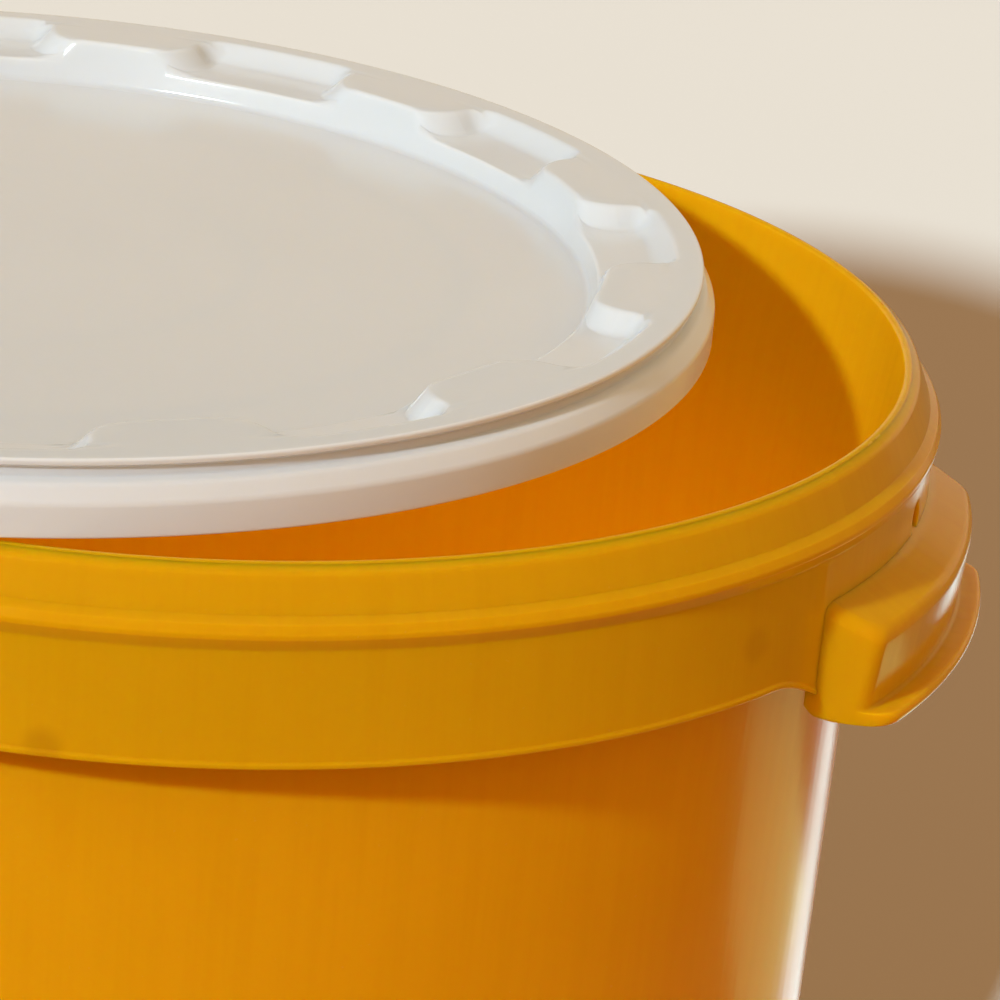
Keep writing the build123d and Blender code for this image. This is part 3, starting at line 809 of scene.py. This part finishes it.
for i in range(len(lrows) - 1):
    for j in range(nA):
        j2 = (j + 1) % nA
        a_, b_ = lrows[i], lrows[i + 1]
        if a_[0] == a_[1]:
            lb.face((a_[0], b_[j2], b_[j]), ((lu[j], lw[i]), (lu[j + 1], lw[i + 1]), (lu[j], lw[i + 1])))
        elif b_[0] == b_[1]:
            lb.face((a_[j], a_[j2], b_[0]), ((lu[j], lw[i]), (lu[j + 1], lw[i]), (lu[j], lw[i + 1])))
        else:
            lb.face((a_[j], a_[j2], b_[j2], b_[j]), ((lu[j], lw[i]), (lu[j + 1], lw[i]), (lu[j + 1], lw[i + 1]), (lu[j], lw[i + 1])))
lid = weighted(lb.mesh("lid_shell", lay))

plug_path = round_path(
    [(PLUG_R[0], LID_ROOF + 0.3, 0), (PLUG_R[0], PLUG_Z + 0.2, 0.5), (PLUG_R[0] + 0.4, PLUG_Z, 0.4), (PLUG_R[1] - 0.4, PLUG_Z, 0.4), (PLUG_R[1], PLUG_Z + 0.8, 0.6), (PLUG_R[1], LID_ROOF + 0.3, 0)],
)
b, _ = lathe(plug_path, ring_az, True)
plug = weighted(b.mesh("lid_plug_ring", lay))
rb = Build()
for r0, r1 in ((58.0, 60.0), (102.0, 104.4)):
    pth = round_path([(r0 - 0.35, LID_PANEL_Z - LID_T + 0.3, 0), (r0, LID_PANEL_Z - LID_T - 0.3, 0.4), (r0 + 0.1, 0.2, 0.5), (r1 - 0.1, 0.2, 0.5), (r1, LID_PANEL_Z - LID_T - 0.3, 0.4), (r1 + 0.35, LID_PANEL_Z - LID_T + 0.3, 0)])
    one_ring, _ = lathe(pth, list(np.radians(np.arange(0, 360, 1.5))), True)
    off = len(rb.v)
    rb.v += one_ring.v
    for f, u in zip(one_ring.f, one_ring.uv):
        v_shift = 0.0 if r0 < 80 else 0.5
        rb.face([x + off for x in f], [(p[0], p[1] * 0.49 + v_shift) for p in u])
lid_rings = weighted(rb.mesh("lid_under_rings", lay))


# ------------------------------------------------------------------ materials
class Nodes:
    def __init__(self, name):
        self.mat = bpy.data.materials.new(name)
        self.mat.use_nodes = True
        self.t = self.mat.node_tree
        self.t.nodes.clear()
        self.out = self.t.nodes.new("ShaderNodeOutputMaterial")
        self.p = self.t.nodes.new("ShaderNodeBsdfPrincipled")
        self.t.links.new(self.p.outputs[0], self.out.inputs[0])
        self.coord = self.t.nodes.new("ShaderNodeTexCoord").outputs["Object"]

    def new(self, kind, **kw):
        n = self.t.nodes.new(kind)
        for k, v in kw.items():
            setattr(n, k, v)
        return n

    def link(self, a, b):
        self.t.links.new(a, b)

    def put(self, socket, value):
        if hasattr(value, "is_output"):
            self.link(value, socket)
        else:
            socket.default_value = value

    def stretch(self, scale, vector=None):
        n = self.new("ShaderNodeMapping")
        self.link(vector or self.coord, n.inputs["Vector"])
        n.inputs["Scale"].default_value = scale
        return n.outputs[0]

    def noise(self, scale, detail=2.0, rough=0.5, vector=None, distortion=0.0):
        n = self.new("ShaderNodeTexNoise")
        self.link(vector or self.coord, n.inputs["Vector"])
        n.inputs["Scale"].default_value = scale
        n.inputs["Detail"].default_value = detail
        n.inputs["Roughness"].default_value = rough
        n.inputs["Distortion"].default_value = distortion
        return n.outputs["Fac"]

    def ramp(self, value, a, b, lo=0.0, hi=1.0):
        n = self.new("ShaderNodeMapRange", interpolation_type="SMOOTHSTEP")
        self.put(n.inputs["Value"], value)
        n.inputs["From Min"].default_value, n.inputs["From Max"].default_value = a, b
        n.inputs["To Min"].default_value, n.inputs["To Max"].default_value = lo, hi
        return n.outputs[0]

    def math(self, op, a, b=0.0, clamp=False):
        n = self.new("ShaderNodeMath", operation=op, use_clamp=clamp)
        self.put(n.inputs[0], a)
        self.put(n.inputs[1], b)
        return n.outputs[0]

    def mix(self, fac, a, b, blend="MIX"):
        n = self.new("ShaderNodeMix", data_type="RGBA", blend_type=blend)
        self.put(n.inputs[0], fac)
        self.put(n.inputs[6], a if hasattr(a, "is_output") else (*a, 1.0))
        self.put(n.inputs[7], b if hasattr(b, "is_output") else (*b, 1.0))
        return n.outputs[2]

    def spot(self, x, y, z, r0, r1):
        """1 inside a ball about a point, falling to 0."""
        n = self.new("ShaderNodeVectorMath", operation="DISTANCE")
        self.link(self.coord, n.inputs[0])
        n.inputs[1].default_value = (x, y, z)
        return self.ramp(n.outputs["Value"], r0, r1, 1.0, 0.0)

    def bump(self, height, strength, distance, normal=None):
        n = self.new("ShaderNodeBump")
        n.inputs["Strength"].default_value = strength
        n.inputs["Distance"].default_value = distance
        self.link(height, n.inputs["Height"])
        if normal is not None:
            self.link(normal, n.inputs["Normal"])
        return n.outputs[0]


def polar(m):
    """Angle and height as coordinates, so that marks run up and down the wall."""
    sep = m.new("ShaderNodeSeparateXYZ")
    m.link(m.coord, sep.inputs[0])
    ang = m.math("ARCTAN2", sep.outputs[1], sep.outputs[0])
    rad = m.math("SQRT", m.math("ADD", m.math("MULTIPLY", sep.outputs[0], sep.outputs[0]), m.math("MULTIPLY", sep.outputs[1], sep.outputs[1])))
    return ang, rad, sep.outputs[2], sep


def yellow_plastic():
    m = Nodes("honey_yellow_moulded")
    ang, rad, z, sep = polar(m)
    cosn, sinn = m.math("COSINE", ang), m.math("SINE", ang)
    ring = m.new("ShaderNodeCombineXYZ")
    m.link(cosn, ring.inputs[0])
    m.link(sinn, ring.inputs[1])
    m.link(m.math("MULTIPLY", z, 0.35), ring.inputs[2])
    streaks = m.noise(46.0, 3.0, 0.55, ring.outputs[0])
    fine_streaks = m.noise(190.0, 2.0, 0.5, ring.outputs[0])
    cloud = m.noise(9.0, 3.0, 0.5)
    mottle = m.noise(60.0, 4.0, 0.6)
    speck = m.noise(900.0, 1.0, 0.5)
    col = m.mix(m.ramp(cloud, 0.3, 0.7), (0.625, 0.328, 0.0030), (0.655, 0.348, 0.0040))
    col = m.mix(m.ramp(streaks, 0.35, 0.75, 0.0, 0.35), col, (0.595, 0.30, 0.0018))
    col = m.mix(m.ramp(mottle, 0.55, 0.8, 0.0, 0.18), col, (0.66, 0.355, 0.004))
    dust = m.ramp(speck, 0.76, 0.80, 0.0, 0.10)
    col = m.mix(dust, col, (0.66, 0.42, 0.16))
    wear = m.new("ShaderNodeNewGeometry").outputs["Pointiness"]
    edge_wear = m.math("MULTIPLY", m.ramp(wear, 0.52, 0.60), m.ramp(mottle, 0.35, 0.65, 0.25, 1.0))
    col = m.mix(m.math("MULTIPLY", edge_wear, 0.30), col, (0.70, 0.42, 0.03))
    # two faint round darker spots on the band
    for az, drop, rr, k in ((-41.0 + VIEW_TURN, 27.0, 0.0042, 0.20), (-95.0 + VIEW_TURN, 36.5, 0.0042, 0.34)):
        a = math.radians(az)
        mark = m.spot(0.1556 * math.cos(a), 0.1556 * math.sin(a), (H - drop) * 0.001, rr * 0.35, rr * 1.25)
        col = m.mix(m.math("MULTIPLY", mark, k), col, (0.36, 0.15, 0.003))
    m.link(col, m.p.inputs["Base Color"])
    rough = m.math("ADD", m.ramp(mottle, 0.3, 0.75, 0.165, 0.195), m.math("MULTIPLY", edge_wear, 0.12))
    rough = m.math("ADD", rough, m.math("MULTIPLY", dust, 0.5))
    m.link(rough, m.p.inputs["Roughness"])
    m.p.inputs["IOR"].default_value = 1.49
    m.p.inputs["Subsurface Weight"].default_value = 1.0
    m.p.inputs["Subsurface Radius"].default_value = (1.0, 0.62, 0.03)
    m.p.inputs["Subsurface Scale"].default_value = 0.005
    m.p.inputs["Specular Tint"].default_value = (1.0, 0.45, 0.05, 1.0)
    peel = m.noise(420.0, 2.0, 0.5)
    n = m.bump(fine_streaks, 0.02, 0.0006)
    n = m.bump(streaks, 0.04, 0.0012, n)
    n = m.bump(peel, 0.02, 0.0004, n)
    m.link(n, m.p.inputs["Normal"])
    return m.mat


def white_plastic():
    m = Nodes("lid_white_moulded")
    cloud = m.noise(7.0, 3.0, 0.5)
    mottle = m.noise(48.0, 4.0, 0.6)
    speck = m.noise(760.0, 1.0, 0.5)
    col = m.mix(m.ramp(cloud, 0.3, 0.7), (0.63, 0.673, 0.703), (0.645, 0.688, 0.718))
    col = m.mix(m.ramp(mottle, 0.5, 0.8, 0.0, 0.15), col, (0.625, 0.66, 0.68))
    dust = m.ramp(speck, 0.75, 0.80, 0.0, 0.08)
    col = m.mix(dust, col, (0.62, 0.58, 0.52))
    wear = m.new("ShaderNodeNewGeometry").outputs["Pointiness"]
    edge_wear = m.math("MULTIPLY", m.ramp(wear, 0.52, 0.60), m.ramp(mottle, 0.35, 0.65, 0.25, 1.0))
    col = m.mix(m.math("MULTIPLY", edge_wear, 0.35), col, (0.86, 0.855, 0.84))
    m.link(col, m.p.inputs["Base Color"])
    # rubbed, slightly scratched panel
    sc = m.stretch((1.0, 14.0, 1.0))
    scratch = m.noise(120.0, 3.0, 0.6, sc)
    rough = m.math("ADD", m.ramp(mottle, 0.3, 0.75, 0.165, 0.195), m.ramp(scratch, 0.62, 0.78, 0.0, 0.03))
    rough = m.math("ADD", rough, m.math("MULTIPLY", dust, 0.5))
    m.link(rough, m.p.inputs["Roughness"])
    m.p.inputs["IOR"].default_value = 1.49
    m.p.inputs["Subsurface Weight"].default_value = 0.8
    m.p.inputs["Subsurface Radius"].default_value = (1.0, 0.9, 0.75)
    m.p.inputs["Subsurface Scale"].default_value = 0.0026
    wave = m.noise(26.0, 2.0, 0.5)
    peel = m.noise(420.0, 2.0, 0.5)
    n = m.bump(wave, 0.012, 0.003)
    n = m.bump(peel, 0.02, 0.0004, n)
    m.link(n, m.p.inputs["Normal"])
    return m.mat


def floor_material():
    m = Nodes("pale_floor")
    big, small = m.noise(1.3, 3.0, 0.5), m.noise(240.0, 3.0, 0.6)
    col = m.mix(m.ramp(big, 0.3, 0.7), (0.86, 0.885, 0.885), (0.875, 0.90, 0.90))
    m.link(col, m.p.inputs["Base Color"])
    m.p.inputs["Roughness"].default_value = 0.75
    m.link(m.bump(small, 0.06, 0.0008), m.p.inputs["Normal"])
    return m.mat


def flag_material():
    m = Nodes("dark_flag")
    col = m.mix(m.ramp(m.noise(3.0), 0.3, 0.7), (0.035, 0.02, 0.008), (0.05, 0.03, 0.012))
    m.link(col, m.p.inputs["Base Color"])
    m.p.inputs["Roughness"].default_value = 0.9
    return m.mat


pail_mat, lid_mat = yellow_plastic(), white_plastic()


def dress(ob, mat):
    ob.data.materials.clear()
    ob.data.materials.append(mat)


for ob, body, slot, nodes, mat in (
    (tub, "pail", "pail_plastic", ("tub_wall", "tub_base"), pail_mat),
    (collar, "pail", "pail_plastic", ("rim_collar",), pail_mat),
    (grips["grip_right"], "pail", "pail_plastic", ("grip_right",), pail_mat),
    (grips["grip_left"], "pail", "pail_plastic", ("grip_left",), pail_mat),
    (lid, "lid", "lid_plastic", ("lid_panel", "lid_wall", "lid_flange", "lid_skirt"), lid_mat),
    (plug, "lid", "lid_plastic", ("lid_plug",), lid_mat),
    (lid_rings, "lid", "lid_plastic", ("lid_ribs",), lid_mat),
):
    dress(ob, mat)
    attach(ob, body)
    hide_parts(*nodes)
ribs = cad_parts["collar_ribs"]
for i in range(len(ribs.material_slots)):
    ribs.material_slots[i].material = pail_mat
if not ribs.material_slots:
    ribs.data.materials.append(pail_mat)

# ------------------------------------------------------------------ floor, light and camera
fb = Build()
NF, SF = 40, 9000.0
ids = [[fb.vert(-SF + 2 * SF * i / NF, -SF + 2 * SF * j / NF, 0.0) for j in range(NF + 1)] for i in range(NF + 1)]
for i in range(NF):
    for j in range(NF):
        fb.face((ids[i][j], ids[i + 1][j], ids[i + 1][j + 1], ids[i][j + 1]))
floor = fb.mesh("floor")
for p in floor.data.polygons:
    if p.normal.z < 0:
        floor.data.flip_normals()
    break
dress(floor, floor_material())

scene = bpy.context.scene
scene.view_settings.view_transform = "Standard"
scene.view_settings.look = "None"
world = bpy.data.worlds.new("studio")
scene.world = world
world.use_nodes = True
bg = world.node_tree.nodes["Background"]
bg.inputs[0].default_value = (1.0, 0.58, 0.30, 1.0)
bg.inputs[1].default_value = 0.27


def turned_dir(u, h, n):
    """A direction given across, away and up in the photograph's view, in the pail's frame."""
    a = math.radians(VIEW_TURN)
    return Vector((u * math.cos(a) - h * math.sin(a), u * math.sin(a) + h * math.cos(a), n))


def lamp(name, kind, energy, colour, place, aim, **kw):
    data = bpy.data.lights.new(name, kind)
    data.energy, data.color = energy, colour
    for k, v in kw.items():
        setattr(data, k, v)
    ob = bpy.data.objects.new(name, data)
    scene.collection.objects.link(ob)
    ob.location = place
    ob.rotation_mode = "QUATERNION"
    ob.rotation_quaternion = (Vector(aim) - Vector(place)).to_track_quat("-Z", "Y")
    return ob


SUN_AZ, SUN_EL = 52.0, 31.0
travel = turned_dir(math.cos(math.radians(SUN_AZ)) * math.cos(math.radians(SUN_EL)), math.sin(math.radians(SUN_AZ)) * math.cos(math.radians(SUN_EL)), -math.sin(math.radians(SUN_EL)))
target = Vector((0.0, 0.0, H * 0.001))
key = lamp("key", "SUN", 2.75, (0.86, 1.0, 1.06), target - travel * 3.0, target, angle=math.radians(4.0))
overhead = lamp("overhead", "SUN", 0.45, (1.0, 0.80, 0.60), target + turned_dir(-0.7, -0.9, 2.2), target, angle=math.radians(95.0))
front_fill = lamp("front_fill", "SUN", 1.10, (1.0, 0.58, 0.32), target + turned_dir(0.55, -1.0, 0.05) * 2.0, target, angle=math.radians(130.0))
front_fill.visible_glossy = False
back_right = lamp("back_right", "SUN", 0.95, (0.96, 1.0, 0.72), target + turned_dir(2.0, 2.0, 1.5), target, angle=math.radians(70.0))
back_right.visible_glossy = False
# pale wall behind, seen only in reflections
back = lamp("back_wall", "AREA", 5.5, (1.0, 0.88, 0.70), turned_dir(0.3, 2.4, 0.60), target, shape="RECTANGLE", size=4.0, size_y=1.1)
back.visible_camera = back.visible_diffuse = False
# a long low strip light at the right, only for the reflections on the glossy wall and grip
a, c = turned_dir(0.255, 0.242, 0.0), turned_dir(0.460, 0.700, 0.0)
strip = lamp("strip", "AREA", 0.33, (0.72, 0.97, 1.0), (a + c) / 2 + Vector((0, 0, 0.004)), (a + c) / 2 + Vector((0, 0, 1.0)), shape="RECTANGLE", size=0.10, size_y=0.62)
along = math.atan2((c - a).y, (c - a).x)
strip.rotation_quaternion = Matrix.Rotation(along - math.pi / 2, 3, "Z").to_quaternion() @ Matrix.Rotation(math.pi, 3, "X").to_quaternion()
strip.visible_camera = strip.visible_diffuse = False
# a wider, dimmer panel beside it
panel_at = turned_dir(0.445, 0.215, 0.003)
wide = lamp("wide_strip", "AREA", 0.128, (0.62, 1.0, 0.37), panel_at, panel_at + Vector((0, 0, 1.0)), shape="RECTANGLE", size=0.27, size_y=0.20)
wide.rotation_quaternion = Matrix.Rotation(math.radians(VIEW_TURN), 3, "Z").to_quaternion() @ Matrix.Rotation(math.pi, 3, "X").to_quaternion()
wide.visible_camera = wide.visible_diffuse = False
inside = lamp("inside_fill", "POINT", 0.41, (1.0, 0.72, 0.25), turned_dir(0.045, 0.01, 0.17), Vector((0.0, 0.0, 0.0)), shadow_soft_size=0.06)
inside.visible_camera = inside.visible_glossy = False

# the floor has a low light of its own, which throws the pail's shadow back and to the right, and a warm fill
low = turned_dir(math.cos(math.radians(75.5)) * math.cos(math.radians(19.0)), math.sin(math.radians(75.5)) * math.cos(math.radians(19.0)), -math.sin(math.radians(19.0)))
floor_key = lamp("floor_key", "SUN", 6.3, (0.88, 1.0, 1.0), target - low * 3.0, target, angle=math.radians(2.2))
floor.visible_diffuse = floor.visible_shadow = floor.visible_glossy = False
floor_fill = lamp("floor_fill", "SUN", 0.30, (1.0, 0.42, 0.05), target + Vector((0.0, 0.0, 2.0)), target, angle=math.radians(120.0))


def linked(name, state, lights):
    group = bpy.data.collections.new(name)
    group.objects.link(floor)
    for entry in group.collection_objects:
        entry.light_linking.link_state = state
    for ob in lights:
        ob.light_linking.receiver_collection = group


linked("floor_only", "INCLUDE", (floor_key, floor_fill))
linked("all_but_floor", "EXCLUDE", (key, overhead, front_fill, back_right))

# dark flags round the front and the right: seen only in reflections, they keep the plastic's colour deep
gb = Build()
flag = [[gb.vert(*(turned_dir(math.cos(math.radians(d)) * 480.0, math.sin(math.radians(d)) * 480.0, z))) for d in np.arange(-175.0, 14.0, 4.0)] for z in (2.0, 60.0, 130.0, 200.0)]
for lo_, hi_ in zip(flag[:-1], flag[1:]):
    for k in range(len(lo_) - 1):
        gb.face((lo_[k], lo_[k + 1], hi_[k + 1], hi_[k]))
flags = gb.mesh("flags")
dress(flags, flag_material())
flags.visible_camera = flags.visible_diffuse = flags.visible_shadow = flags.visible_transmission = False

cam_data = bpy.data.cameras.new("photo_view")
cam = bpy.data.objects.new("photo_view", cam_data)
scene.collection.objects.link(cam)
scene.camera = cam
cam_data.sensor_width, cam_data.lens = 36.0, 180.0
cam_data.clip_start, cam_data.clip_end = 0.05, 60.0
rim_centre = Vector((0.0, 0.0, H * 0.001))
pos = rim_centre + turned_dir(0.441341 * 0.15, -6.611322 * 0.15, 2.194714 * 0.15)
ax = turned_dir(0.99697066, 0.02709074, 0.0729081)
ay = turned_dir(-0.07777852, 0.34725103, 0.93454118)
az_ = turned_dir(0.0, -0.93738083, 0.34830617)
m4 = Matrix.Identity(4)
for c, v in enumerate((ax, ay, az_)):
    for r_ in range(3):
        m4[r_][c] = v[r_]
m4.translation = pos
cam.matrix_world = m4
